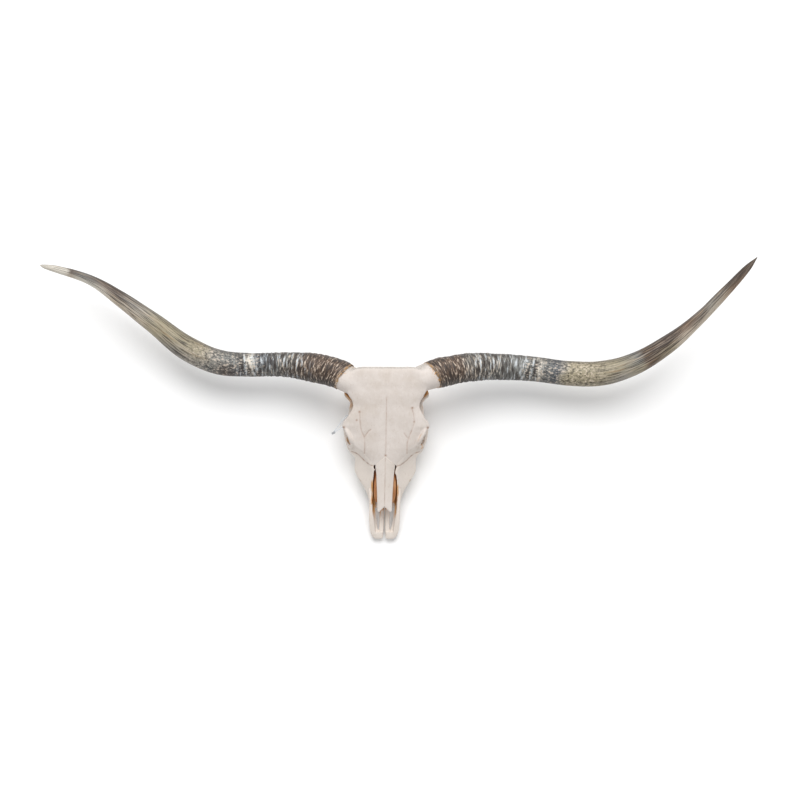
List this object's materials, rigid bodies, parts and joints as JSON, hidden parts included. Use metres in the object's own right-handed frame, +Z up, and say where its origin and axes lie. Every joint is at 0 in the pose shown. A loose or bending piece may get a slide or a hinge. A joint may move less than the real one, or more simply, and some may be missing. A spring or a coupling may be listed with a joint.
{
  "type": "longhorn steer skull",
  "caption": "Bleached cattle skull with its long, dark, twisting horn sheaths, lying face up on its cheek teeth.",
  "frame": {"origin": "centre of the bounding box in plan, at the level of the floor that the skull lies on", "axes": "+X towards the steer's own left horn, +Y from the muzzle towards the poll, +Z up out of the forehead"},
  "size_m": [1.9132, 0.7764, 0.2151],
  "materials": {
    "bone": "dry, matt, weathered bone, stained tan in its hollows",
    "tooth": "satin enamel with dark folds",
    "horn": "satin keratin, ringed at the base, from umber through blue-grey and olive to brown",
    "nylon": "clear moulded nylon",
    "barb": "grey moulded plastic"
  },
  "bodies": {
    "root": {"braincase": "bone", "frontal_left": "bone", "frontal_right": "bone", "nasal_left": "bone", "nasal_right": "bone", "cheek_left": "bone", "cheek_right": "bone", "maxilla_left": "bone", "maxilla_right": "bone", "premaxilla_left": "bone", "premaxilla_right": "bone", "horn_left": "horn", "horn_right": "horn", "tag_tie": "nylon"}
  },
  "joints": []
}
